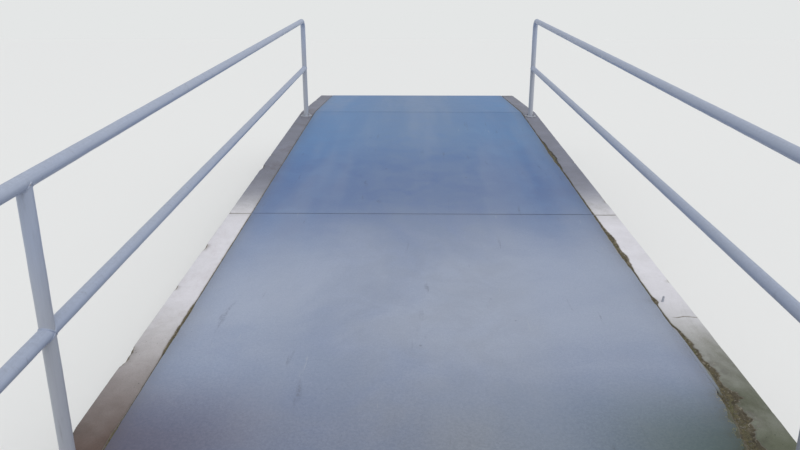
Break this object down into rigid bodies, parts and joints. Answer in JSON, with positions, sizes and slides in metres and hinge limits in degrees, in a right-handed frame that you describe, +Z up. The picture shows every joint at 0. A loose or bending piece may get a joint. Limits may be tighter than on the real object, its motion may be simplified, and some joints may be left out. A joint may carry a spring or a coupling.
{
  "type": "pedestrian access ramp with pipe handrails",
  "caption": "Sloped concrete walkway with a blue-grey coating, bare flush margins and painted pipe handrails on both sides, rising to a level landing.",
  "frame": {"origin": "on the floor, midway along the ramp's length and width", "axes": "+Y uphill along the ramp, +X to the right when facing uphill, +Z up"},
  "size_m": [2.56, 9.5, 1.6455],
  "materials": {
    "bare_concrete": "weathered cast concrete, stained and chipped",
    "slab_concrete": "trowelled concrete",
    "deck_coating": "worn rolled deck coating, satin",
    "joint_filler": "aged joint filler, matt",
    "fill": "compacted fill",
    "rail_paint": "brush-painted steel pipe, chipped, satin"
  },
  "bodies": {
    "root": {"wall_left_1": "bare_concrete", "wall_right_1": "bare_concrete", "slab_1": "slab_concrete", "coating_1": "deck_coating", "wall_left_2": "bare_concrete", "wall_right_2": "bare_concrete", "slab_2": "slab_concrete", "coating_2": "deck_coating", "fill_2": "fill", "wall_left_3": "bare_concrete", "wall_right_3": "bare_concrete", "slab_3": "slab_concrete", "coating_3": "deck_coating", "fill_3": "fill", "wall_left_4": "bare_concrete", "wall_right_4": "bare_concrete", "slab_4": "slab_concrete", "coating_4": "deck_coating", "fill_4": "fill", "end_wall": "bare_concrete", "joint_strip_1": "joint_filler", "joint_strip_2": "joint_filler", "joint_strip_3": "joint_filler", "top_rail_left": "rail_paint", "elbow_left_foot": "rail_paint", "elbow_left_head": "rail_paint", "post_left_1": "rail_paint", "base_plate_left_1": "rail_paint", "post_left_2": "rail_paint", "base_plate_left_2": "rail_paint", "post_left_3": "rail_paint", "base_plate_left_3": "rail_paint", "mid_rail_left_1": "rail_paint", "mid_rail_left_2": "rail_paint", "top_rail_right": "rail_paint", "elbow_right_foot": "rail_paint", "elbow_right_head": "rail_paint", "post_right_1": "rail_paint", "base_plate_right_1": "rail_paint", "post_right_2": "rail_paint", "base_plate_right_2": "rail_paint", "post_right_3": "rail_paint", "base_plate_right_3": "rail_paint", "mid_rail_right_1": "rail_paint", "mid_rail_right_2": "rail_paint"}
  },
  "joints": []
}
